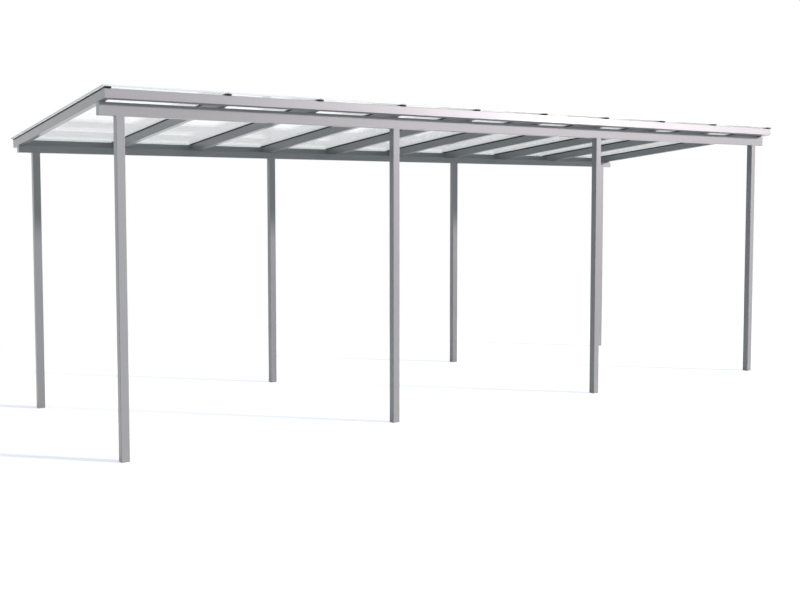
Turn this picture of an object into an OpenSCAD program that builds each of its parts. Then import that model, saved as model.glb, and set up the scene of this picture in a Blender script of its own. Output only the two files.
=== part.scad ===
// Open bike shelter: two rows of posts, a lean-to frame of steel tube and a glass roof.
// Millimetres. +X runs along the shelter, +Y from the tall open front to the low rear,
// +Z up. The origin is on the ground under the middle of the roof.

/* [Plan] */
// Number of bays between the posts
bay_count = 3; // [2:1:4]
// Distance between neighbouring posts, centre to centre
post_pitch = 2250; // [1800:10:2600]
// Distance between the front row and the rear row, centre to centre
row_spacing = 2200; // [1600:10:2600]
// How far the beams run on past the outer posts
beam_overhang = 116; // [90:1:400]

/* [Posts] */
// Side of the square post tube, also the depth of both beams
post_size = 60; // [50:1:100]
// Wall of the post tube
post_wall = 3; // [2:0.5:6]
// Clear height from the ground to the underside of the front beam
front_clearance = 2382; // [2200:1:2800]
// Thickness of the plate that closes a post at the ground
foot_plate_t = 5; // [3:0.5:12]

/* [Beams] */
// Height of the front beam
front_beam_h = 90; // [60:1:140]
// Height of the rear beam
rear_beam_h = 60; // [50:1:120]
// Wall of both beam tubes
beam_wall = 4; // [2:0.5:6]
// Thickness of the plates that close the beam ends
end_plate_t = 4; // [2:0.5:8]

/* [Roof frame] */
// Fall of the roof from front to rear, in degrees
roof_pitch = 5.1; // [2:0.1:8]
// Rafters in each bay between two posts
rafters_per_bay = 3; // [2:1:3]
// Width of a rafter
rafter_w = 45; // [40:1:70]
// Height of a rafter, also the height of the fascias
rafter_h = 66; // [50:1:100]
// Wall of the rafter tube
rafter_wall = 3; // [2:0.5:5]
// How far the outer rafters stand back from the beam ends
rafter_inset = 8; // [0:1:30]
// Thinnest part of the wedge under a rafter
seat_min_t = 2; // [1.5:0.5:10]
// How far a wedge stands back from the round edges of its rafter and beam
seat_setback = 2; // [1:0.5:6]
// Depth of the fascia tubes, front to rear
fascia_d = 60; // [40:1:90]
// Wall of the fascia tubes
fascia_wall = 3; // [2:0.5:5]
// How far the front fascia stands in front of the front posts
front_overhang = 103; // [70:1:400]
// How far the rear fascia stands behind the rear posts
rear_overhang = 162; // [70:1:400]

/* [Glass roof] */
// Thickness of the glass
glass_t = 10; // [6:0.5:16]
// How far the glass runs out past the outer rafters
glass_side_overhang = 15; // [0:1:60]
// How far the glass runs out past the front fascia
glass_front_overhang = 10; // [0:1:60]
// How far the glass runs out past the rear fascia
glass_rear_overhang = 5; // [0:1:60]
// Width of the black glazing strips
strip_w = 45; // [30:1:60]
// Height of the black glazing strips
strip_h = 11; // [8:1:25]
// Width of the joint between two panes
pane_joint = 6; // [4:1:12]

/* [Corners] */
// Outside corner radius of every tube
corner_r = 3; // [2:0.5:6]

/* [Hidden] */
// Facets of the rounded tube corners
$fn = 32;

metal_colour = [0.66, 0.66, 0.67];
gasket_colour = [0.05, 0.05, 0.05];
glass_colour = [0.80, 0.90, 0.90, 0.35];

// Counts that follow from the bays
post_count = bay_count + 1;
rafter_count = bay_count * rafters_per_bay + 1;
pane_count = rafter_count - 1;

function numbered(name, count) = [for (i = [1:count]) str(name, i)];

// Lengths along X
beam_len = bay_count * post_pitch + post_size + 2 * beam_overhang;
fascia_len = beam_len - 2 * rafter_inset;
roof_len = fascia_len + 2 * glass_side_overhang;

// The roof is drawn flat in a frame of its own: Y runs down the slope from the front face of
// the front fascia, Z stands square to the glass from the underside of the rafters.
slope = tan(roof_pitch);
frame_run = front_overhang + post_size + row_spacing + rear_overhang;
frame_len = frame_run / cos(roof_pitch);
strip_z = rafter_h;
glass_z = strip_z + strip_h;
glass_len = glass_front_overhang + frame_len + glass_rear_overhang;

// Place of the roof's frame: the plan is centred on the outermost edges of the roof
front_reach = max(0, glass_front_overhang * cos(roof_pitch) - strip_z * sin(roof_pitch));
rear_reach = (frame_len + glass_rear_overhang) * cos(roof_pitch)
    + (glass_z + glass_t) * sin(roof_pitch);
roof_y = (front_reach - rear_reach) / 2;
front_row_y = roof_y + front_overhang;
rear_row_y = front_row_y + row_spacing;

// Heights: both beams carry the rafters on the same wedge
front_beam_top = front_clearance + front_beam_h;
rear_beam_top = front_beam_top - slope * row_spacing;
rear_clearance = rear_beam_top - rear_beam_h;
seat_edge = corner_r + seat_setback;
seat_low_y = post_size - seat_edge;
roof_z = front_beam_top + seat_min_t + slope * (front_overhang + seat_low_y);

// Centre of post i along X, counted from 1 at the left
function post_x(i) = (i - 1 - bay_count / 2) * post_pitch;

// Centre of rafter i along X: the outer two sit at the beam ends, the others divide each bay
function rafter_x(i) =
    i == 1 ? (rafter_w - fascia_len) / 2 :
    i == rafter_count ? (fascia_len - rafter_w) / 2 :
    post_x(1) + (i - 1) * post_pitch / rafters_per_bay;

// Left and right edge of pane i along X
function pane_left(i) = i == 1 ? -roof_len / 2 : rafter_x(i) + pane_joint / 2;
function pane_right(i) = i == pane_count ? roof_len / 2 : rafter_x(i + 1) - pane_joint / 2;

// Rectangle with round corners, centred
module rounded_rect(w, h, r) {
    square([w - 2 * r, h], center = true);
    square([w, h - 2 * r], center = true);
    for (x = [-1, 1], y = [-1, 1])
        translate([x * (w / 2 - r), y * (h / 2 - r)]) circle(r);
}

// Bore of a tube with the given outside and wall
module tube_bore(w, h, wall) {
    rounded_rect(w - 2 * wall, h - 2 * wall, max(corner_r - wall, 0.5));
}

// Rectangular tube, open at both ends, standing on the XY plane
module tube(w, h, wall, len) {
    linear_extrude(len) difference() {
        rounded_rect(w, h, corner_r);
        tube_bore(w, h, wall);
    }
}

// Turns what stands up along Z so that it lies along +X, with its width upright
module along_x() {
    rotate([0, 90, 0]) children();
}

// Carries what is drawn in the roof's own frame to its place
module on_roof() {
    translate([0, roof_y, roof_z]) rotate([-roof_pitch, 0, 0]) children();
}

// Square post from the ground to a beam, closed by a plate at the foot
module post(x, row_y, height) {
    color(metal_colour) translate([x, row_y + post_size / 2, 0]) {
        linear_extrude(foot_plate_t) rounded_rect(post_size, post_size, corner_r);
        tube(post_size, post_size, post_wall, height);
    }
}

module front_post(i) { post(post_x(i), front_row_y, front_clearance); }
module rear_post(i) { post(post_x(i), rear_row_y, rear_clearance); }

// Beam over one row of posts, between its end plates
module beam(row_y, bottom_z, height) {
    color(metal_colour)
        translate([end_plate_t - beam_len / 2, row_y + post_size / 2, bottom_z + height / 2])
        along_x() tube(height, post_size, beam_wall, beam_len - 2 * end_plate_t);
}

// The two plates that close a beam
module beam_ends(row_y, bottom_z, height) {
    color(metal_colour)
        for (x = [-beam_len / 2, beam_len / 2 - end_plate_t])
            translate([x, row_y + post_size / 2, bottom_z + height / 2])
            along_x() linear_extrude(end_plate_t) rounded_rect(height, post_size, corner_r);
}

module front_beam() { beam(front_row_y, front_clearance, front_beam_h); }
module rear_beam() { beam(rear_row_y, rear_clearance, rear_beam_h); }
module front_beam_ends() { beam_ends(front_row_y, front_clearance, front_beam_h); }
module rear_beam_ends() { beam_ends(rear_row_y, rear_clearance, rear_beam_h); }

// Wedge between a level beam and the sloping rafter, sunk into the rafter's lower wall
module rafter_seat(x, row_y, beam_top) {
    seat_w = rafter_w - 2 * seat_edge;
    seat_d = post_size - 2 * seat_edge;
    low_t = seat_min_t + rafter_wall / 2;
    high_t = low_t + slope * seat_d;
    translate([x - seat_w / 2, row_y + seat_edge, beam_top])
        rotate([90, 0, 90]) linear_extrude(seat_w)
        polygon([[0, 0], [seat_d, 0], [seat_d, low_t], [0, high_t]]);
}

// Sloping tube from fascia to fascia, with a wedge over each beam
module rafter(i) {
    color(metal_colour) {
        on_roof() translate([rafter_x(i), fascia_d, rafter_h / 2])
            rotate([-90, 0, 0]) tube(rafter_w, rafter_h, rafter_wall, frame_len - 2 * fascia_d);
        rafter_seat(rafter_x(i), front_row_y, front_beam_top);
        rafter_seat(rafter_x(i), rear_row_y, rear_beam_top);
    }
}

// Tube across the rafter ends, with its outer face at y or y + fascia_d
module fascia(y) {
    color(metal_colour)
        on_roof() translate([end_plate_t - fascia_len / 2, y + fascia_d / 2, rafter_h / 2])
        along_x() tube(rafter_h, fascia_d, fascia_wall, fascia_len - 2 * end_plate_t);
}

// The two plates that close a fascia
module fascia_ends(y) {
    color(metal_colour)
        for (x = [-fascia_len / 2, fascia_len / 2 - end_plate_t])
            on_roof() translate([x, y + fascia_d / 2, rafter_h / 2])
            along_x() linear_extrude(end_plate_t) rounded_rect(rafter_h, fascia_d, corner_r);
}

module front_fascia() { fascia(0); }
module rear_fascia() { fascia(frame_len - fascia_d); }
module front_fascia_ends() { fascia_ends(0); }
module rear_fascia_ends() { fascia_ends(frame_len - fascia_d); }

// Black strip under the glass on a rafter. On inner rafters a fin fills the joint between two
// panes, from the front fascia to the rear one.
module glazing_strip(i) {
    color(gasket_colour) on_roof() translate([rafter_x(i), 0, strip_z]) {
        translate([-strip_w / 2, -glass_front_overhang, 0])
            cube([strip_w, glass_len, strip_h]);
        if (i > 1 && i < rafter_count)
            translate([-pane_joint / 2, 0, strip_h]) cube([pane_joint, frame_len, glass_t]);
    }
}

// One sheet of glass from the front edge of the roof to the rear edge
module glass_pane(i) {
    color(glass_colour) on_roof()
        translate([pane_left(i), -glass_front_overhang, glass_z])
        cube([pane_right(i) - pane_left(i), glass_len, glass_t]);
}

for (i = [1:post_count]) {
    front_post(i);
    rear_post(i);
}
front_beam();
rear_beam();
front_beam_ends();
rear_beam_ends();
for (i = [1:rafter_count]) {
    rafter(i);
    glazing_strip(i);
}
front_fascia();
rear_fascia();
front_fascia_ends();
rear_fascia_ends();
for (i = [1:pane_count])
    glass_pane(i);
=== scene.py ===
import math

import bpy
import numpy as np
from bpy.props import FloatProperty, FloatVectorProperty, IntProperty, PointerProperty
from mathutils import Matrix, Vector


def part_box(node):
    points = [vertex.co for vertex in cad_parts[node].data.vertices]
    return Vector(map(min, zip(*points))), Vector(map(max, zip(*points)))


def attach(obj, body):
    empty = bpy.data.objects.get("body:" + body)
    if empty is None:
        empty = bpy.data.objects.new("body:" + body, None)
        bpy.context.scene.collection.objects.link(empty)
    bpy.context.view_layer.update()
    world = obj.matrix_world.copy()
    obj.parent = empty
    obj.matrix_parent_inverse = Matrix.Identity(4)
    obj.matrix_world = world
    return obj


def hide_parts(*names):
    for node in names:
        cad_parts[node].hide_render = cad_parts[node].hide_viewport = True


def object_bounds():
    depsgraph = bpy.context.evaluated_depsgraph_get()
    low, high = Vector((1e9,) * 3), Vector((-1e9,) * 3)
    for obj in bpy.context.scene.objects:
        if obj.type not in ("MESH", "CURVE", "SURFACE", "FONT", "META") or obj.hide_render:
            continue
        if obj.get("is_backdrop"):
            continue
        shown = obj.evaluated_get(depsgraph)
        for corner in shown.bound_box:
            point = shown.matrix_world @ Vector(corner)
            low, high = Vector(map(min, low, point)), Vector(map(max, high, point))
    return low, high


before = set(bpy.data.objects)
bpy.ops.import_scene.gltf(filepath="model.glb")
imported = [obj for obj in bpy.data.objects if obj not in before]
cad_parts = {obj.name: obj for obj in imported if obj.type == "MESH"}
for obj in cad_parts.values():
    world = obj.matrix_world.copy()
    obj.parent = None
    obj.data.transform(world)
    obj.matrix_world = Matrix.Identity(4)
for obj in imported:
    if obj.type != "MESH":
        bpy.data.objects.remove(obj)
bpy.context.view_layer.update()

bl_info = {
    "name": "Bike shelter",
    "version": (1, 0, 0),
    "blender": (4, 5, 0),
    "location": "3D View > Sidebar > Shelter",
    "description": "Finishes, glass roof, glazing strips, welds and studio for a steel bike shelter",
    "category": "Object",
}

POSTS = sorted(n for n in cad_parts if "_post_" in n)
RAFTERS = sorted(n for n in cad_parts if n.startswith("rafter_"))
STRIPS = sorted(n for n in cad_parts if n.startswith("glazing_strip_"))
PANES = sorted(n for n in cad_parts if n.startswith("glass_pane_"))
TUBES = POSTS + RAFTERS + ["front_beam", "rear_beam", "front_fascia", "rear_fascia"]
END_PLATES = ["front_beam_ends", "rear_beam_ends", "front_fascia_ends", "rear_fascia_ends"]
SLOPE_NODE = "glazing_strip_1"

# What each kind of coated piece adds to the coat's roughness
TUBE_ROUGHER = 0.0
PLATE_ROUGHER = 0.03
WELD_ROUGHER = 0.05
# Splash height, in metres, on the pieces of the roof, which no soil reaches
NO_SPLASH = 0.01
WHITE = (1.0, 1.0, 1.0, 1.0)

# Steps round a tube's corner, along one ripple of a bead, round a bead, along one groove of a
# strip, across a joint between two panes, and along each side of the floor
CORNER_STEPS = 6
RIPPLE_STEPS = 4
BEAD_STEPS = 8
GROOVE_STEPS = 12
JOINT_STEPS = 8
FLOOR_STEPS = 8

# A bead's middle, in bead radii: how far out of the tube's face, and how far back in a groove
BEAD_OUT = 0.15
BEAD_BACK = 0.55
# How far a rafter's bead in a groove stays under the faces beside it, in metres
BEAD_UNDER = 0.0002
# How far the fin in a joint reaches down into its strip, in metres
FIN_ROOT = 0.001
# Keeps the two points at each corner of a pane's end apart
CORNER_GAP = 0.02

SENSOR_WIDTH = 36.0
CLIP_END = 500.0


# ---------------------------------------------------------------- settings

class CoatSettings(bpy.types.PropertyGroup):
    """Powder coat on every steel tube and plate"""

    colour: FloatVectorProperty(
        name="Coat colour", description="Colour of the powder coat", subtype="COLOR", size=3,
        min=0.0, max=1.0, default=(0.350, 0.350, 0.354))
    metallic: FloatProperty(
        name="Metallic share", description="How much the coat shines like metal",
        subtype="FACTOR", min=0.0, max=1.0, default=0.04)
    roughness: FloatProperty(
        name="Roughness", description="Mean roughness of the coat",
        subtype="FACTOR", min=0.05, max=1.0, default=0.40)
    lacquer: FloatProperty(
        name="Lacquer", description="How much clear lacquer lies over the coat",
        subtype="FACTOR", min=0.0, max=1.0, default=0.7)
    ior: FloatProperty(
        name="IOR", description="Refractive index of the coat", min=1.0, default=1.5)
    lacquer_ior: FloatProperty(
        name="Lacquer IOR", description="Refractive index of the lacquer", min=1.0, default=1.3)
    lacquer_roughness: FloatProperty(
        name="Lacquer roughness", description="Roughness of the lacquer",
        subtype="FACTOR", min=0.0, max=1.0, default=0.08)
    corner_radius: FloatProperty(
        name="Tube corner", description="Outside corner radius of the tubes",
        unit="LENGTH", min=0.0, default=0.003)
    peel_size: FloatProperty(
        name="Orange peel size", description="Width of one ripple in the coat",
        unit="LENGTH", min=0.0005, default=0.0035)
    peel_depth: FloatProperty(
        name="Orange peel depth", description="Height of the ripples in the coat",
        unit="LENGTH", min=0.0, default=0.00004)
    mottle: FloatProperty(
        name="Mottling", description="How far the coat's tone wanders over a metre",
        subtype="FACTOR", min=0.0, max=1.0, default=0.05)
    dust: FloatProperty(
        name="Dust", description="How much dust and splashed soil lies on the coat",
        subtype="FACTOR", min=0.0, max=1.0, default=0.16)
    dust_colour: FloatVectorProperty(
        name="Dust colour", description="Colour of the dust", subtype="COLOR", size=3,
        min=0.0, max=1.0, default=(0.37, 0.35, 0.32))
    splash_height: FloatProperty(
        name="Splash height", description="How high rain throws soil up the posts",
        unit="LENGTH", min=0.01, default=0.22)


class WeldSettings(bpy.types.PropertyGroup):
    """Weld beads round the tube ends"""

    radius: FloatProperty(
        name="Bead radius", description="Radius of a weld bead", unit="LENGTH",
        min=0.001, default=0.0032)
    ripple_pitch: FloatProperty(
        name="Ripple pitch", description="Distance between two ripples along a bead",
        unit="LENGTH", min=0.001, max=0.02, default=0.0045)
    ripple: FloatProperty(
        name="Ripple", description="How deep the ripples are, as a share of the radius",
        subtype="FACTOR", min=0.0, max=0.5, default=0.14)


class GlassSettings(bpy.types.PropertyGroup):
    """Glass panes of the roof"""

    tint: FloatVectorProperty(
        name="Glass tint", description="Colour of light that has passed the glass",
        subtype="COLOR", size=3, min=0.0, max=1.0, default=(0.83, 0.94, 0.98))
    edge_colour: FloatVectorProperty(
        name="Edge colour", description="Colour of the ground edges", subtype="COLOR", size=3,
        min=0.0, max=1.0, default=(0.76, 0.87, 0.86))
    ior: FloatProperty(
        name="IOR", description="Refractive index of the glass", min=1.0, default=1.5)
    body: FloatProperty(
        name="Body", description="How much of the light meets the glass at all",
        subtype="FACTOR", min=0.0, max=1.0, default=0.36)
    arris: FloatProperty(
        name="Arris", description="Width of the ground bevel along every edge",
        unit="LENGTH", min=0.0, default=0.001)
    edge_clearness: FloatProperty(
        name="Edge clearness", description="How much light passes the ground edges",
        subtype="FACTOR", min=0.0, max=1.0, default=0.35)
    edge_roughness: FloatProperty(
        name="Edge roughness", description="Mean roughness of the ground edges",
        subtype="FACTOR", min=0.0, max=1.0, default=0.38)
    spots: FloatProperty(
        name="Water spots", description="How much dried rain shows on the glass",
        subtype="FACTOR", min=0.0, max=1.0, default=0.02)
    spot_colour: FloatVectorProperty(
        name="Spot colour", description="Colour of the dried rain", subtype="COLOR", size=3,
        min=0.0, max=1.0, default=(0.80, 0.80, 0.78))
    wave_size: FloatProperty(
        name="Wave size", description="Width of one wave in the float glass",
        unit="LENGTH", min=0.01, default=0.18)
    wave_depth: FloatProperty(
        name="Wave depth", description="Height of the waves in the float glass",
        unit="LENGTH", min=0.0, default=0.000004)


class StripSettings(bpy.types.PropertyGroup):
    """Black rubber strips that carry the glass"""

    colour: FloatVectorProperty(
        name="Rubber colour", description="Colour of the rubber", subtype="COLOR", size=3,
        min=0.0, max=1.0, default=(0.0045, 0.0045, 0.005))
    roughness: FloatProperty(
        name="Roughness", description="Mean roughness of the rubber",
        subtype="FACTOR", min=0.0, max=1.0, default=0.50)
    ior: FloatProperty(
        name="IOR", description="Refractive index of the rubber", min=1.0, default=1.3)
    dust: FloatProperty(
        name="Dust", description="How much dust lies on the strips",
        subtype="FACTOR", min=0.0, max=1.0, default=0.12)
    dust_colour: FloatVectorProperty(
        name="Dust colour", description="Colour of dust on the rubber", subtype="COLOR", size=3,
        min=0.0, max=1.0, default=(0.16, 0.155, 0.15))
    groove_depth: FloatProperty(
        name="Groove depth", description="Depth of the grooves along both sides",
        unit="LENGTH", min=0.0, default=0.0014)
    grooves: IntProperty(
        name="Grooves", description="Grooves along each side", min=1, max=4, default=2)
    joint_hollow: FloatProperty(
        name="Joint hollow", description="How far the joint between two panes is hollowed",
        unit="LENGTH", min=0.0, default=0.0009)
    clearance: FloatProperty(
        name="Clearance", description="Air left between the rubber and the glass",
        unit="LENGTH", min=0.0, default=0.00006)


class StageSettings(bpy.types.PropertyGroup):
    """Floor, lights and camera"""

    floor_reach: FloatProperty(
        name="Floor reach", description="Half the side of the floor", unit="LENGTH",
        min=1.0, default=120.0)
    floor_colour: FloatVectorProperty(
        name="Floor colour", description="Colour of the light that the floor gives back",
        subtype="COLOR", size=3, min=0.0, max=1.0, default=(0.75, 0.80, 0.82))
    floor_glow: FloatProperty(
        name="Floor glow", description="Part of the floor's white that takes no shadow",
        subtype="FACTOR", min=0.0, max=1.0, default=0.70)
    glow_right: FloatProperty(
        name="Glow to the right", description="What is added to it towards the right",
        subtype="FACTOR", min=0.0, max=1.0, default=0.09)
    glow_run: FloatProperty(
        name="Glow run", description="Length over which the glow rises from the left end",
        unit="LENGTH", min=0.1, default=2.0)
    glow_colour: FloatVectorProperty(
        name="Glow colour", description="Colour of the floor's glow", subtype="COLOR", size=3,
        min=0.0, default=(0.66, 0.735, 1.0))
    lit_colour: FloatVectorProperty(
        name="Lit colour", description="How the floor shows what the lights add to the glow",
        subtype="COLOR", size=3, min=0.0, default=(1.3, 1.1, 0.65))
    white_near: FloatProperty(
        name="White from", description="Distance behind the roof where plain white sets in",
        unit="LENGTH", min=0.0, default=0.7)
    white_far: FloatProperty(
        name="White full", description="Distance behind the roof where all is plain white",
        unit="LENGTH", min=0.0, default=3.7)
    sky_rear: FloatVectorProperty(
        name="Rear side", description="Soft light from the studio's rear and left",
        subtype="COLOR", size=3, min=0.0, default=(0.285, 0.305, 0.315))
    sky_front: FloatVectorProperty(
        name="Front side", description="Soft light from the studio's front and right",
        subtype="COLOR", size=3, min=0.0, default=(0.235, 0.300, 0.325))
    sky_way: FloatVectorProperty(
        name="Sky way", description="Direction in which the soft light turns to the front side's",
        subtype="XYZ", size=3, default=(0.45, -0.80, 0.40))
    key_strength: FloatProperty(
        name="Key strength", description="Strength of the main light", default=2.9)
    key_colour: FloatVectorProperty(
        name="Key colour", description="Colour of the main light", subtype="COLOR", size=3,
        min=0.0, max=1.0, default=(1.0, 0.90, 0.93))
    key_spread: FloatProperty(
        name="Key spread", description="Width of the main light as the shelter sees it",
        subtype="ANGLE", default=math.radians(5.0))
    key_azimuth: FloatProperty(
        name="Key azimuth", description="Main light's turn to the right of straight ahead",
        subtype="ANGLE", default=math.radians(45.0))
    key_elevation: FloatProperty(
        name="Key elevation", description="Main light's height above the horizon",
        subtype="ANGLE", default=math.radians(15.0))
    eye: FloatVectorProperty(
        name="Eye", description="Where the camera stands", subtype="TRANSLATION", size=3,
        unit="LENGTH", default=(-5.6525, -7.9581, 1.8168))
    aim: FloatVectorProperty(
        name="Aim", description="How the camera is turned", subtype="EULER", size=3,
        default=(math.radians(86.6335), 0.0, math.radians(-33.871)))
    lens: FloatProperty(
        name="Focal length", description="Focal length on a 36 mm sensor", default=45.572)
    shift: FloatProperty(
        name="Shift", description="Upright shift of the lens", default=-0.0513)


# ---------------------------------------------------------------- node helpers

def add_node(tree, kind, place, settings=None, inputs=None):
    """One node with its settings and unlinked inputs."""
    made = tree.nodes.new(kind)
    made.location = place
    for name, value in (settings or {}).items():
        setattr(made, name, value)
    for name, value in (inputs or {}).items():
        made.inputs[name].default_value = value
    return made


def wire(tree, *pairs):
    """Links every (output, input) pair."""
    for source, target in pairs:
        tree.links.new(source, target)


def ramp(tree, place, inputs=None):
    """A Map Range node that eases in and out."""
    return add_node(tree, "ShaderNodeMapRange", place,
                    {"interpolation_type": "SMOOTHSTEP"}, inputs)


def math_node(tree, operation, place, inputs=None, clamp=False):
    """A Math node; inputs gives the values of unlinked sockets by number."""
    return add_node(tree, "ShaderNodeMath", place,
                    {"operation": operation, "use_clamp": clamp}, inputs)


def new_group(name, inputs, outputs):
    """An empty shader node group with named sockets, and its two end nodes."""
    group = bpy.data.node_groups.new(name, "ShaderNodeTree")
    for label, kind, default in inputs:
        socket = group.interface.new_socket(label, in_out="INPUT", socket_type=kind)
        socket.default_value = default
    for label, kind in outputs:
        group.interface.new_socket(label, in_out="OUTPUT", socket_type=kind)
    start = add_node(group, "NodeGroupInput", (-900, 0))
    end = add_node(group, "NodeGroupOutput", (900, 0))
    return group, start, end


def dust_group():
    """Dust: colour mixed towards the dust's by a mask that is high near the ground and on faces
    that look up, broken up by noise."""
    group, start, end = new_group(
        "Dust",
        [("Colour", "NodeSocketColor", (0.5, 0.5, 0.5, 1.0)),
         ("Dust colour", "NodeSocketColor", (0.4, 0.4, 0.4, 1.0)),
         ("Amount", "NodeSocketFloat", 0.1),
         ("Splash height", "NodeSocketFloat", 0.2)],
        [("Colour", "NodeSocketColor"), ("Mask", "NodeSocketFloat")])
    where = add_node(group, "ShaderNodeTexCoord", (-900, -300))
    parts = add_node(group, "ShaderNodeSeparateXYZ", (-700, -300))
    low = ramp(group, (-500, -300), {"To Min": 1.0, "To Max": 0.0})
    facing = add_node(group, "ShaderNodeNewGeometry", (-900, -600))
    normal = add_node(group, "ShaderNodeSeparateXYZ", (-700, -600))
    up = ramp(group, (-500, -600), {"From Min": 0.3, "From Max": 1.0, "To Max": 0.8})
    noise = add_node(group, "ShaderNodeTexNoise", (-500, 100), None,
                     {"Scale": 14.0, "Detail": 6.0, "Roughness": 0.62})
    spread = add_node(group, "ShaderNodeMapRange", (-300, 100), None,
                      {"From Min": 0.3, "From Max": 0.7, "To Min": 0.35})
    most = math_node(group, "MAXIMUM", (-300, -400))
    broken = math_node(group, "MULTIPLY", (-100, -200))
    mask = math_node(group, "MULTIPLY", (100, -200), clamp=True)
    mix = add_node(group, "ShaderNodeMix", (400, 100), {"data_type": "RGBA"})
    wire(group,
         (where.outputs["Object"], parts.inputs[0]),
         (where.outputs["Object"], noise.inputs["Vector"]),
         (parts.outputs["Z"], low.inputs["Value"]),
         (start.outputs["Splash height"], low.inputs["From Max"]),
         (facing.outputs["Normal"], normal.inputs[0]),
         (normal.outputs["Z"], up.inputs["Value"]),
         (noise.outputs["Fac"], spread.inputs["Value"]),
         (low.outputs["Result"], most.inputs[0]),
         (up.outputs["Result"], most.inputs[1]),
         (most.outputs[0], broken.inputs[0]),
         (spread.outputs["Result"], broken.inputs[1]),
         (broken.outputs[0], mask.inputs[0]),
         (start.outputs["Amount"], mask.inputs[1]),
         (mask.outputs[0], mix.inputs["Factor"]),
         (start.outputs["Colour"], mix.inputs[6]),
         (start.outputs["Dust colour"], mix.inputs[7]),
         (mix.outputs[2], end.inputs["Colour"]),
         (mask.outputs[0], end.inputs["Mask"]))
    return group


def mottle_group():
    """Mottling: slow noise plus faint upright streaks, put out as a value round 1 and as the same
    value round 0."""
    group, start, end = new_group(
        "Mottling",
        [("Amount", "NodeSocketFloat", 0.05), ("Scale", "NodeSocketFloat", 1.5)],
        [("Factor", "NodeSocketFloat"), ("Drift", "NodeSocketFloat")])
    where = add_node(group, "ShaderNodeTexCoord", (-900, -300))
    cloud = add_node(group, "ShaderNodeTexNoise", (-500, 200), None,
                     {"Detail": 4.0, "Roughness": 0.55})
    stretch = add_node(group, "ShaderNodeMapping", (-700, -300), None,
                       {"Scale": (90.0, 90.0, 1.4)})
    streak = add_node(group, "ShaderNodeTexNoise", (-500, -200), None,
                      {"Scale": 1.0, "Detail": 3.0, "Roughness": 0.5})
    both = math_node(group, "ADD", (-200, 0))
    centred = math_node(group, "SUBTRACT", (0, 0), {1: 1.0})
    drift = math_node(group, "MULTIPLY", (200, 0))
    factor = math_node(group, "ADD", (500, 100), {1: 1.0})
    wire(group,
         (where.outputs["Object"], cloud.inputs["Vector"]),
         (start.outputs["Scale"], cloud.inputs["Scale"]),
         (where.outputs["Object"], stretch.inputs["Vector"]),
         (stretch.outputs[0], streak.inputs["Vector"]),
         (cloud.outputs["Fac"], both.inputs[0]),
         (streak.outputs["Fac"], both.inputs[1]),
         (both.outputs[0], centred.inputs[0]),
         (centred.outputs[0], drift.inputs[0]),
         (start.outputs["Amount"], drift.inputs[1]),
         (drift.outputs[0], factor.inputs[0]),
         (factor.outputs[0], end.inputs["Factor"]),
         (drift.outputs[0], end.inputs["Drift"]))
    return group


def grain_group():
    """Grain: rounded noise of a given size, put out as a height from 0 to 1."""
    group, start, end = new_group(
        "Grain",
        [("Size", "NodeSocketFloat", 0.003)],
        [("Height", "NodeSocketFloat")])
    where = add_node(group, "ShaderNodeTexCoord", (-900, -200))
    scale = math_node(group, "DIVIDE", (-600, 200), {0: 1.0})
    noise = add_node(group, "ShaderNodeTexNoise", (-300, 0), None,
                     {"Detail": 2.0, "Roughness": 0.45})
    soft = ramp(group, (200, 0), {"From Min": 0.25, "From Max": 0.75})
    wire(group,
         (start.outputs["Size"], scale.inputs[1]),
         (scale.outputs[0], noise.inputs["Scale"]),
         (where.outputs["Object"], noise.inputs["Vector"]),
         (noise.outputs["Fac"], soft.inputs["Value"]),
         (soft.outputs["Result"], end.inputs["Height"]))
    return group


def shared(name):
    """The shared group of that name, built on first use."""
    makers = {"Dust": dust_group, "Mottling": mottle_group, "Grain": grain_group}
    return bpy.data.node_groups.get(name) or makers[name]()


def use_group(tree, name, place, inputs):
    """A shared group placed in a material with its own values."""
    made = add_node(tree, "ShaderNodeGroup", place)
    made.node_tree = shared(name)
    for label, value in inputs.items():
        made.inputs[label].default_value = value
    return made


def new_material(name, shader_inputs):
    """A material with one Principled BSDF whose constants are set on its own sockets."""
    material = bpy.data.materials.new(name)
    material.use_nodes = True
    tree = material.node_tree
    tree.nodes.clear()
    shader = add_node(tree, "ShaderNodeBsdfPrincipled", (600, 0), None, shader_inputs)
    output = add_node(tree, "ShaderNodeOutputMaterial", (900, 0))
    wire(tree, (shader.outputs[0], output.inputs["Surface"]))
    return material, tree, shader


def rgba(colour):
    """A colour property as the four numbers a socket takes."""
    return (*colour, 1.0)


def mottled_tone(tree, left, colour, amount, scale):
    """A colour times the Mottling group's factor, and the group's drift, as two sockets."""
    mottle = use_group(tree, "Mottling", (left, 200), {"Amount": amount, "Scale": scale})
    tone = add_node(tree, "ShaderNodeVectorMath", (left + 300, 200), {"operation": "SCALE"},
                    {0: tuple(colour)})
    wire(tree, (mottle.outputs["Factor"], tone.inputs["Scale"]))
    return tone.outputs[0], mottle.outputs["Drift"]


def grain_bump(tree, shader, size, depth, strength=1.0):
    """The Grain group as a bump on the shader's normal."""
    grain = use_group(tree, "Grain", (-100, -350), {"Size": size})
    bump = add_node(tree, "ShaderNodeBump", (200, -350), None,
                    {"Strength": strength, "Distance": depth})
    wire(tree,
         (grain.outputs["Height"], bump.inputs["Height"]),
         (bump.outputs[0], shader.inputs["Normal"]))


# ---------------------------------------------------------------- materials

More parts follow.
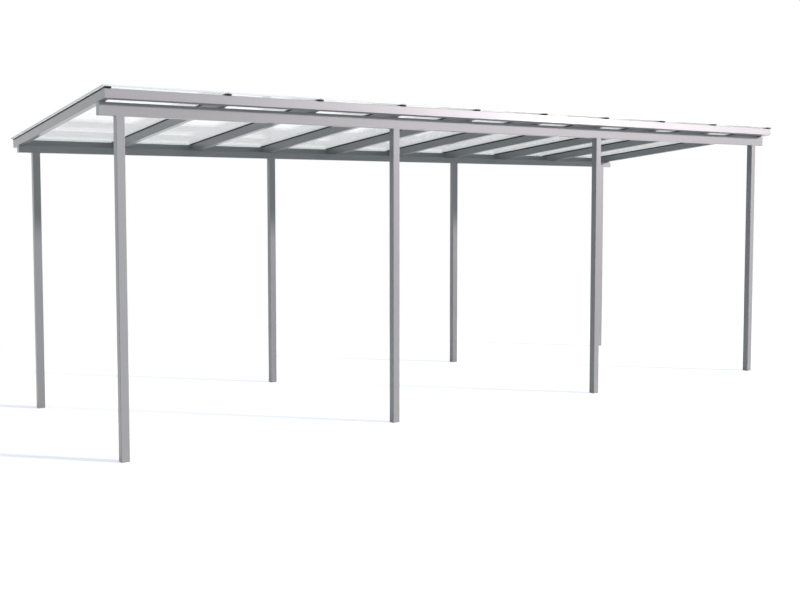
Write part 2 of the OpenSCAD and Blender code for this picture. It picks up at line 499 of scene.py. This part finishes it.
def powder_coat(name, coat, rougher):
    """Powder coat: the colour wanders slowly, dust dulls it near the ground and on top, and a fine
    orange peel breaks up its shine."""
    found = bpy.data.materials.get(name)
    if found:
        return found
    mottle_scale, drift_share, dust_share = 1.3, 0.9, 0.8
    material, tree, shader = new_material(
        name, {"Metallic": coat.metallic, "IOR": coat.ior, "Coat Weight": coat.lacquer,
               "Coat IOR": coat.lacquer_ior, "Coat Roughness": coat.lacquer_roughness})
    tone, drift = mottled_tone(tree, -700, coat.colour, coat.mottle, mottle_scale)
    dust = use_group(tree, "Dust", (-100, 200),
                     {"Dust colour": rgba(coat.dust_colour), "Amount": coat.dust,
                      "Splash height": coat.splash_height})
    rough = math_node(tree, "MULTIPLY_ADD", (-100, -100),
                      {1: drift_share, 2: coat.roughness + rougher})
    dull = math_node(tree, "MULTIPLY_ADD", (200, -100), {1: dust_share}, clamp=True)
    wire(tree,
         (tone, dust.inputs["Colour"]),
         (dust.outputs["Colour"], shader.inputs["Base Color"]),
         (drift, rough.inputs[0]),
         (dust.outputs["Mask"], dull.inputs[0]),
         (rough.outputs[0], dull.inputs[2]),
         (dull.outputs[0], shader.inputs["Roughness"]))
    grain_bump(tree, shader, coat.peel_size, coat.peel_depth)
    return material


def clear_glass(glass):
    """Clear glass: faintly tinted, paler where rain has dried, with the slow waviness of float
    glass. The low key light is thrown back by it, so it casts a full shadow of that light."""
    material, tree, shader = new_material(
        "clear_glass", {"Transmission Weight": 1.0, "IOR": glass.ior, "Alpha": glass.body,
                        "Roughness": 0.0})
    material.use_transparent_shadow = False
    dust = use_group(tree, "Dust", (-100, 200),
                     {"Colour": rgba(glass.tint), "Dust colour": rgba(glass.spot_colour),
                      "Amount": glass.spots, "Splash height": NO_SPLASH})
    wire(tree, (dust.outputs["Colour"], shader.inputs["Base Color"]))
    grain_bump(tree, shader, glass.wave_size, glass.wave_depth)
    return material


def ground_edge(glass):
    """Ground glass edge: pale green and frosted, with a fine stone grain."""
    mottling, mottle_scale, drift_share = 0.06, 9.0, 1.2
    stone_size, stone_depth, stone_strength = 0.0009, 0.00004, 0.6
    material, tree, shader = new_material(
        "ground_glass_edge", {"Transmission Weight": glass.edge_clearness, "IOR": glass.ior})
    tone, drift = mottled_tone(tree, -500, glass.edge_colour, mottling, mottle_scale)
    rough = math_node(tree, "MULTIPLY_ADD", (0, -100), {1: drift_share, 2: glass.edge_roughness})
    wire(tree,
         (tone, shader.inputs["Base Color"]),
         (drift, rough.inputs[0]),
         (rough.outputs[0], shader.inputs["Roughness"]))
    grain_bump(tree, shader, stone_size, stone_depth, stone_strength)
    return material


def black_rubber(strip):
    """Black rubber: nearly even, a little grey where dust lies, with a fine moulded grain."""
    mottling, mottle_scale, dust_share = 0.25, 6.0, 0.7
    mould_size, mould_depth = 0.0012, 0.00006
    material, tree, shader = new_material("black_rubber", {"IOR": strip.ior})
    tone = mottled_tone(tree, -700, strip.colour, mottling, mottle_scale)[0]
    dust = use_group(tree, "Dust", (-100, 200),
                     {"Dust colour": rgba(strip.dust_colour), "Amount": strip.dust,
                      "Splash height": NO_SPLASH})
    rough = math_node(tree, "MULTIPLY_ADD", (200, -100),
                      {1: dust_share, 2: strip.roughness}, clamp=True)
    wire(tree,
         (tone, dust.inputs["Colour"]),
         (dust.outputs["Colour"], shader.inputs["Base Color"]),
         (dust.outputs["Mask"], rough.inputs[0]),
         (rough.outputs[0], shader.inputs["Roughness"]))
    grain_bump(tree, shader, mould_size, mould_depth)
    return material


def coat_nodes(names, material):
    """Puts one material on every named node."""
    for name in names:
        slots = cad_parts[name].data.materials
        slots.clear()
        slots.append(material)


# ---------------------------------------------------------------- surfaces

def node_points(name):
    """Every vertex of a node, in metres."""
    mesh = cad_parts[name].data
    flat = np.empty(3 * len(mesh.vertices), np.float32)
    mesh.vertices.foreach_get("co", flat)
    return flat.reshape(-1, 3).astype(float)


class Slope:
    """The roof's own frame: x across, y down the slope, z square to the glass. The glazing strip
    gives it: its lowest-Y corner is the front lower edge and its lowest-Z corner the rear one."""

    def __init__(self, strip):
        points = node_points(strip)
        front = points[points[:, 1].argmin()]
        rear = points[points[:, 2].argmin()]
        self.origin = np.array([0.0, front[1], front[2]])
        down = np.array([0.0, rear[1] - front[1], rear[2] - front[2]])
        self.down = down / np.linalg.norm(down)
        self.across = np.array([1.0, 0.0, 0.0])
        self.up = np.cross(self.across, self.down)
        self.axes = np.stack([self.across, self.down, self.up])

    def extent(self, name):
        """Lowest and highest corner of a node in this frame."""
        local = (node_points(name) - self.origin) @ self.axes.T
        return local.min(0), local.max(0)

    def place(self, local):
        """Points of this frame in the shelter's frame."""
        return self.origin + local @ self.axes


def rounded_outline(width, height, radius, steps):
    """Closed outline of a rectangle with round corners: four quarter circles about the corner
    centres, walked anticlockwise. Points and outward directions, as (4 (steps + 1), 2) arrays."""
    turn = (np.arange(4)[:, None] + np.linspace(0.0, 1.0, steps + 1)) * np.pi / 2
    turn = turn.ravel()
    corner = np.repeat(np.arange(4), steps + 1) * np.pi / 2 + np.pi / 4
    centre = np.stack([np.sign(np.cos(corner)) * (width / 2 - radius),
                       np.sign(np.sin(corner)) * (height / 2 - radius)], 1)
    out = np.stack([np.cos(turn), np.sin(turn)], 1)
    return centre + radius * out, out


def walk(outline, out, count):
    """The outline resampled at even distances: position and outward direction by arc length."""
    closed = np.vstack([outline, outline[:1]])
    turned = np.vstack([out, out[:1]])
    run = np.concatenate([[0.0], np.cumsum(np.linalg.norm(np.diff(closed, axis=0), axis=1))])
    at = np.arange(count) / count * run[-1]
    points = np.stack([np.interp(at, run, closed[:, k]) for k in (0, 1)], 1)
    ways = np.stack([np.interp(at, run, turned[:, k]) for k in (0, 1)], 1)
    return points, ways / np.linalg.norm(ways, axis=1, keepdims=True)


def skin(sections, closed_path):
    """Quads over a profile carried along a path: sections is (stations, profile points, 3), the
    profile closes on itself, and an open path gets a flat cap at each end."""
    rows, columns = sections.shape[:2]
    row = np.arange(rows if closed_path else rows - 1)[:, None]
    column = np.arange(columns)[None, :]
    after = (row + 1) % rows
    beside = (column + 1) % columns
    quads = np.stack([row * columns + column, row * columns + beside,
                      after * columns + beside, after * columns + column], -1)
    faces = quads.reshape(-1, 4).tolist()
    if not closed_path:
        faces.append(list(range(columns))[::-1])
        faces.append(list(range((rows - 1) * columns, rows * columns)))
    return sections.reshape(-1, 3), faces


def outward(points, faces):
    """Turns every face round where the closed surface's signed volume is negative."""
    fans = [(f[0], f[k], f[k + 1]) for f in faces for k in range(1, len(f) - 1)]
    a, b, c = points[np.array(fans)].transpose(1, 0, 2)
    volume = np.einsum("ij,ij->i", a, np.cross(b, c)).sum()
    return [f[::-1] for f in faces] if volume < 0 else faces


def add_piece(name, surfaces, materials, smooth, face_slots=None):
    """A mesh object from one or more closed surfaces, riding on the root body."""
    points, faces = [], []
    start = 0
    for surface_points, surface_faces in surfaces:
        turned = outward(surface_points, surface_faces)
        points.append(surface_points)
        faces += [[start + k for k in face] for face in turned]
        start += len(surface_points)
    mesh = bpy.data.meshes.new(name)
    mesh.from_pydata(np.vstack(points).tolist(), [], faces)
    for material in materials:
        mesh.materials.append(material)
    mesh.polygons.foreach_set("use_smooth", np.full(len(faces), smooth))
    if face_slots is not None:
        mesh.polygons.foreach_set("material_index", face_slots)
    mesh.update()
    piece = bpy.data.objects.new(name, mesh)
    bpy.context.scene.collection.objects.link(piece)
    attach(piece, "root")
    return piece


def weld_loop(centre, across, upright, axis, width, height, corner, weld, under, flat_side=0):
    """A bead round a tube's end: a circle whose radius swells and shrinks in scallops, carried
    round the tube's outline. Where the outline faces along upright the bead sinks into the groove
    beside the other tube's round edge and stays under its face, and so it does on the flat side:
    1 where that faces along across, -1 where it faces the other way, 0 where there is none."""
    outline, out = rounded_outline(width, height, corner, CORNER_STEPS)
    ripples = round(2 * (width + height) / weld.ripple_pitch)
    path, way = walk(outline, out, RIPPLE_STEPS * ripples)
    scallop = np.abs(np.sin(np.pi * np.arange(len(path)) / RIPPLE_STEPS))
    radius = weld.radius * (1 - weld.ripple + weld.ripple * scallop)
    sunk = np.where(way[:, 0] * flat_side > 0, 1.0, way[:, 1] ** 2)
    shift_out = (1 - sunk) * BEAD_OUT * weld.radius - sunk * (weld.radius + under)
    shift_back = sunk * BEAD_BACK * weld.radius
    axes = np.stack([across, upright])
    outward_way = way @ axes
    spine = centre + path @ axes + shift_out[:, None] * outward_way + shift_back[:, None] * axis
    turn = np.linspace(0, 2 * np.pi, BEAD_STEPS, endpoint=False)
    ring = (np.cos(turn)[None, :, None] * outward_way[:, None, :]
            + np.sin(turn)[None, :, None] * axis[None, None, :])
    return skin(spine[:, None, :] + radius[:, None, None] * ring, True)


def bevelled_slab(slope, low, high, cut):
    """A pane: a rectangle with cut corners carried down the slope, drawn in by the same cut at
    both ends. Faces on the broad sides get slot 0 and every edge face slot 1."""
    half = (high - low) / 2
    middle = (high + low) / 2
    w, h = half[0], half[2]
    full = np.array([[w, h - cut], [w - cut, h], [-w + cut, h], [-w, h - cut],
                     [-w, -h + cut], [-w + cut, -h], [w - cut, -h], [w, -h + cut]])
    small = np.sign(full) * np.array([w - cut, h - cut])
    small = small + CORNER_GAP * cut * (full - small)
    stations = np.array([-half[1], -half[1] + cut, half[1] - cut, half[1]])
    profiles = np.stack([small, full, full, small])
    local = np.empty((*profiles.shape[:2], 3))
    local[..., 0] = profiles[..., 0] + middle[0]
    local[..., 1] = stations[:, None] + middle[1]
    local[..., 2] = profiles[..., 1] + middle[2]
    points, faces = skin(slope.place(local), False)
    sides = len(full)
    slots = np.ones(len(faces), np.int32)
    slots[[sides + 1, sides + 5]] = 0
    return points, faces, slots


def strip_profile(width, height, strip):
    """Half an outline mirrored: straight base and top, and grooves down both sides whose depth is
    a row of raised cosines over the height."""
    rise = np.linspace(0.0, 1.0, GROOVE_STEPS * strip.grooves + 1)
    depth = strip.groove_depth * (0.5 - 0.5 * np.cos(2 * np.pi * strip.grooves * rise)) ** 2
    right = np.stack([width / 2 - depth, rise * height], 1)
    left = right[::-1] * np.array([-1.0, 1.0])
    return np.vstack([right, left])


def joint_profile(width, low, high, hollow):
    """A fin in the joint between two panes: upright sides and a top hollowed as a parabola."""
    across = np.linspace(1.0, -1.0, JOINT_STEPS + 1)
    top = np.stack([across * width / 2, high - hollow * (1 - across ** 2)], 1)
    return np.vstack([top, [[-width / 2, low], [width / 2, low]]])


def carry(slope, profile, x, start, end):
    """A profile in the slope's x and z carried straight down the slope from start to end."""
    local = np.empty((2, len(profile), 3))
    local[..., 0] = profile[None, :, 0] + x
    local[..., 1] = np.array([[start], [end]])
    local[..., 2] = profile[None, :, 1]
    return skin(slope.place(local), False)


# ---------------------------------------------------------------- operators

class SHELTER_OT_coat_tubes(bpy.types.Operator):
    """Give the posts, beams, rafters and fascias their powder coat"""

    bl_idname = "shelter.coat_tubes"
    bl_label = "Coat the tubes"

    def execute(self, context):
        coat = context.scene.shelter.coat
        coat_nodes(TUBES, powder_coat("powder_coat_tube", coat, TUBE_ROUGHER))
        return {"FINISHED"}


class SHELTER_OT_coat_end_plates(bpy.types.Operator):
    """Give the plates that close the beams and fascias their powder coat"""

    bl_idname = "shelter.coat_end_plates"
    bl_label = "Coat the end plates"

    def execute(self, context):
        coat = context.scene.shelter.coat
        coat_nodes(END_PLATES, powder_coat("powder_coat_plate", coat, PLATE_ROUGHER))
        return {"FINISHED"}


class SHELTER_OT_weld_posts(bpy.types.Operator):
    """Weld the top of every post to its beam"""

    bl_idname = "shelter.weld_posts"
    bl_label = "Weld the posts"

    def execute(self, context):
        coat = context.scene.shelter.coat
        weld = context.scene.shelter.weld
        material = powder_coat("powder_coat_weld", coat, WELD_ROUGHER)
        across, upright, axis = np.eye(3)
        for name in POSTS:
            low, high = (np.array(corner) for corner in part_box(name))
            centre = np.array([(low[0] + high[0]) / 2, (low[1] + high[1]) / 2, high[2]])
            loop = weld_loop(centre, across, upright, axis, high[0] - low[0], high[1] - low[1],
                             coat.corner_radius, weld, 0.0)
            add_piece(name + "_weld", [loop], [material], True)
        return {"FINISHED"}


class SHELTER_OT_weld_rafters(bpy.types.Operator):
    """Weld both ends of every rafter to the fascias"""

    bl_idname = "shelter.weld_rafters"
    bl_label = "Weld the rafters"

    def execute(self, context):
        coat = context.scene.shelter.coat
        weld = context.scene.shelter.weld
        material = powder_coat("powder_coat_weld", coat, WELD_ROUGHER)
        slope = Slope(SLOPE_NODE)
        front_low, front_high = slope.extent("front_fascia")
        rear_low = slope.extent("rear_fascia")[0]
        height = front_high[2] - front_low[2]
        middle = (front_high[2] + front_low[2]) / 2
        for name in RAFTERS:
            low, high = slope.extent(name)
            x = (low[0] + high[0]) / 2
            at_right = high[0] > front_high[0] - weld.radius
            at_left = low[0] < front_low[0] + weld.radius
            flat_side = int(at_right) - int(at_left)
            loops = []
            for y, way in ((front_high[1], -slope.down), (rear_low[1], slope.down)):
                centre = slope.place(np.array([x, y, middle]))
                loops.append(weld_loop(centre, slope.across, slope.up, way, high[0] - low[0],
                                       height, coat.corner_radius, weld, BEAD_UNDER, flat_side))
            add_piece(name + "_welds", loops, [material], True)
        return {"FINISHED"}


class SHELTER_OT_glass_panes(bpy.types.Operator):
    """Lay the glass panes with ground edges"""

    bl_idname = "shelter.glass_panes"
    bl_label = "Lay the glass"

    def execute(self, context):
        glass = context.scene.shelter.glass
        materials = [clear_glass(glass), ground_edge(glass)]
        slope = Slope(SLOPE_NODE)
        for name in PANES:
            low, high = slope.extent(name)
            points, faces, slots = bevelled_slab(slope, low, high, glass.arris)
            pane = add_piece(name + "_glass", [(points, faces)], materials, False,
                             slots)
            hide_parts(name)
        return {"FINISHED"}


class SHELTER_OT_glazing_strips(bpy.types.Operator):
    """Lay the grooved rubber strips and their joints between the panes"""

    bl_idname = "shelter.glazing_strips"
    bl_label = "Lay the glazing strips"

    def execute(self, context):
        strip = context.scene.shelter.strip
        material = black_rubber(strip)
        slope = Slope(SLOPE_NODE)
        base_low, base_high = slope.extent(SLOPE_NODE)
        height = base_high[2] - base_low[2]
        pane_high = slope.extent("glass_pane_1")[1]
        next_low = slope.extent("glass_pane_2")[0]
        front = slope.extent("front_fascia")[0][1]
        rear = slope.extent("rear_fascia")[1][1]
        joint = next_low[0] - pane_high[0]
        profile = strip_profile(base_high[0] - base_low[0], height - strip.clearance, strip)
        fin = joint_profile(joint - 2 * strip.clearance, height - FIN_ROOT, pane_high[2],
                            strip.joint_hollow)
        for name in STRIPS:
            low, high = slope.extent(name)
            x = (low[0] + high[0]) / 2
            surfaces = [carry(slope, profile, x, base_low[1], base_high[1])]
            if high[2] > base_high[2] + strip.clearance:
                surfaces.append(carry(slope, fin, x, front, rear))
            piece = add_piece(name + "_rubber", surfaces, [material], False)
            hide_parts(name)
        return {"FINISHED"}


class SHELTER_OT_stage(bpy.types.Operator):
    """Set the floor, the lights and the camera"""

    bl_idname = "shelter.stage"
    bl_label = "Set the stage"

    def execute(self, context):
        stage = context.scene.shelter.stage
        make_floor(stage)
        make_sky(context.scene, stage)
        make_key(stage)
        make_camera(context.scene, stage)
        context.scene.view_settings.view_transform = "Standard"
        return {"FINISHED"}


def shown_rays(tree):
    """A value that is 1 for rays that show the background: camera, glossy and transmission rays
    that no dull surface has scattered yet."""
    path = add_node(tree, "ShaderNodeLightPath", (-1100, 400))
    first = math_node(tree, "MAXIMUM", (-850, 400))
    both = math_node(tree, "MAXIMUM", (-650, 400))
    direct = math_node(tree, "LESS_THAN", (-850, 200), {1: 0.5})
    shown = math_node(tree, "MULTIPLY", (-450, 400))
    wire(tree,
         (path.outputs["Is Camera Ray"], first.inputs[0]),
         (path.outputs["Is Glossy Ray"], first.inputs[1]),
         (first.outputs[0], both.inputs[0]),
         (path.outputs["Is Transmission Ray"], both.inputs[1]),
         (path.outputs["Diffuse Depth"], direct.inputs[0]),
         (both.outputs[0], shown.inputs[0]),
         (direct.outputs[0], shown.inputs[1]))
    return shown.outputs[0]


def make_floor(stage):
    """A level square grid. Rays that show it see a steady glow plus what the lights add, so that
    shadows stay, and plain white far behind the shelter; all others see a plain pale floor."""
    across = FLOOR_STEPS + 1
    side = np.linspace(-stage.floor_reach, stage.floor_reach, across)
    x, y = np.meshgrid(side, side, indexing="xy")
    points = np.stack([x, y, np.zeros_like(x)], -1).reshape(-1, 3)
    row, column = np.meshgrid(np.arange(FLOOR_STEPS), np.arange(FLOOR_STEPS), indexing="ij")
    first = row * across + column
    faces = np.stack([first, first + 1, first + across + 1, first + across], -1).reshape(-1, 4)
    mesh = bpy.data.meshes.new("studio_floor")
    mesh.from_pydata(points.tolist(), [], faces.tolist())
    material = bpy.data.materials.new("studio_floor")
    material.use_nodes = True
    tree = material.node_tree
    tree.nodes.clear()
    plain = add_node(tree, "ShaderNodeBsdfDiffuse", (-300, 100), None,
                     {"Color": rgba(stage.floor_colour)})
    where = add_node(tree, "ShaderNodeTexCoord", (-1300, -100))
    parts = add_node(tree, "ShaderNodeSeparateXYZ", (-1100, -100))
    lowest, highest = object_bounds()
    left, rear = lowest.x, highest.y
    rightward = ramp(tree, (-850, 0),
                     {"From Min": left, "From Max": left + stage.glow_run,
                      "To Min": stage.floor_glow,
                      "To Max": stage.floor_glow + stage.glow_right})
    backward = ramp(tree, (-850, -300),
                    {"From Min": rear + stage.white_near, "From Max": rear + stage.white_far})
    glow = add_node(tree, "ShaderNodeEmission", (-300, -100), None,
                    {"Color": rgba(stage.glow_colour)})
    lit = add_node(tree, "ShaderNodeBsdfDiffuse", (-300, -300), None,
                   {"Color": rgba(stage.lit_colour)})
    both = add_node(tree, "ShaderNodeAddShader", (-50, -200))
    white = add_node(tree, "ShaderNodeEmission", (-50, -400), None, {"Color": WHITE})
    far = add_node(tree, "ShaderNodeMixShader", (150, -200))
    choose = add_node(tree, "ShaderNodeMixShader", (350, 0))
    output = add_node(tree, "ShaderNodeOutputMaterial", (600, 0))
    wire(tree,
         (where.outputs["Object"], parts.inputs[0]),
         (parts.outputs["X"], rightward.inputs["Value"]),
         (parts.outputs["Y"], backward.inputs["Value"]),
         (rightward.outputs["Result"], glow.inputs["Strength"]),
         (glow.outputs[0], both.inputs[0]),
         (lit.outputs[0], both.inputs[1]),
         (backward.outputs["Result"], far.inputs[0]),
         (both.outputs[0], far.inputs[1]),
         (white.outputs[0], far.inputs[2]),
         (shown_rays(tree), choose.inputs[0]),
         (plain.outputs[0], choose.inputs[1]),
         (far.outputs[0], choose.inputs[2]),
         (choose.outputs[0], output.inputs["Surface"]))
    mesh.materials.append(material)
    floor = bpy.data.objects.new("studio_floor", mesh)
    bpy.context.scene.collection.objects.link(floor)
    floor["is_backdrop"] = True


def make_sky(scene, stage):
    """A white studio: rays that show it see white, and the soft light that it gives turns
    smoothly from the rear side's colour to the front side's along the sky way."""
    world = bpy.data.worlds.new("studio")
    world.use_nodes = True
    scene.world = world
    tree = world.node_tree
    tree.nodes.clear()
    where = add_node(tree, "ShaderNodeTexCoord", (-900, -200))
    side = add_node(tree, "ShaderNodeVectorMath", (-650, -200), {"operation": "DOT_PRODUCT"},
                    {1: stage.sky_way})
    level = ramp(tree, (-400, -200), {"From Min": -0.7, "From Max": 0.8})
    colour = add_node(tree, "ShaderNodeMix", (-250, -300), {"data_type": "RGBA"},
                      {6: rgba(stage.sky_rear), 7: rgba(stage.sky_front)})
    soft = add_node(tree, "ShaderNodeBackground", (-100, -200))
    white = add_node(tree, "ShaderNodeBackground", (-100, 0), None, {"Color": WHITE})
    choose = add_node(tree, "ShaderNodeMixShader", (200, 0))
    output = add_node(tree, "ShaderNodeOutputWorld", (500, 0))
    wire(tree,
         (where.outputs["Generated"], side.inputs[0]),
         (side.outputs["Value"], level.inputs["Value"]),
         (level.outputs["Result"], colour.inputs["Factor"]),
         (colour.outputs[2], soft.inputs["Color"]),
         (shown_rays(tree), choose.inputs[0]),
         (soft.outputs[0], choose.inputs[1]),
         (white.outputs[0], choose.inputs[2]),
         (choose.outputs[0], output.inputs["Surface"]))


def make_key(stage):
    """The main light: a wide soft sun from the front right. Its disc isn't seen through clear
    glass or mirrored in it."""
    data = bpy.data.lights.new("key", "SUN")
    data.energy = stage.key_strength
    data.angle = stage.key_spread
    data.color = stage.key_colour
    key = bpy.data.objects.new("key", data)
    bpy.context.scene.collection.objects.link(key)
    key.rotation_euler = (math.pi / 2 - stage.key_elevation, 0.0, stage.key_azimuth)
    key.visible_transmission = False
    data.cycles.use_multiple_importance_sampling = False


def make_camera(scene, stage):
    """The camera at eye height, left of the shelter's front."""
    data = bpy.data.cameras.new("camera")
    data.sensor_width = SENSOR_WIDTH
    data.lens = stage.lens
    data.shift_y = stage.shift
    data.clip_end = CLIP_END
    camera = bpy.data.objects.new("camera", data)
    camera.location = stage.eye
    camera.rotation_euler = stage.aim
    scene.collection.objects.link(camera)
    scene.camera = camera


# ---------------------------------------------------------------- panel and start

class ShelterSettings(bpy.types.PropertyGroup):
    """All settings of the shelter"""

    coat: PointerProperty(type=CoatSettings)
    weld: PointerProperty(type=WeldSettings)
    glass: PointerProperty(type=GlassSettings)
    strip: PointerProperty(type=StripSettings)
    stage: PointerProperty(type=StageSettings)


OPERATORS = (
    SHELTER_OT_coat_tubes, SHELTER_OT_coat_end_plates, SHELTER_OT_weld_posts,
    SHELTER_OT_weld_rafters, SHELTER_OT_glass_panes, SHELTER_OT_glazing_strips, SHELTER_OT_stage,
)


class SHELTER_PT_shelter(bpy.types.Panel):
    """Lists the shelter's pieces and their settings"""

    bl_label = "Bike shelter"
    bl_idname = "SHELTER_PT_shelter"
    bl_space_type = "VIEW_3D"
    bl_region_type = "UI"
    bl_category = "Shelter"

    def draw(self, context):
        layout = self.layout
        shelter = context.scene.shelter
        for operator in OPERATORS:
            layout.operator(operator.bl_idname)
        for group in (shelter.coat, shelter.weld, shelter.glass, shelter.strip, shelter.stage):
            box = layout.box()
            for name in group.bl_rna.properties.keys():
                if name not in {"rna_type", "name"}:
                    box.prop(group, name)


CLASSES = (
    CoatSettings, WeldSettings, GlassSettings, StripSettings, StageSettings, ShelterSettings,
    *OPERATORS, SHELTER_PT_shelter,
)


def register():
    for cls in CLASSES:
        bpy.utils.register_class(cls)
    bpy.types.Scene.shelter = PointerProperty(type=ShelterSettings)


def unregister():
    del bpy.types.Scene.shelter
    for cls in reversed(CLASSES):
        bpy.utils.unregister_class(cls)


def main():
    register()
    bpy.ops.shelter.stage()
    bpy.ops.shelter.coat_tubes()
    bpy.ops.shelter.coat_end_plates()
    bpy.ops.shelter.weld_posts()
    bpy.ops.shelter.weld_rafters()
    bpy.ops.shelter.glass_panes()
    bpy.ops.shelter.glazing_strips()


if __name__ == "__main__":
    main()
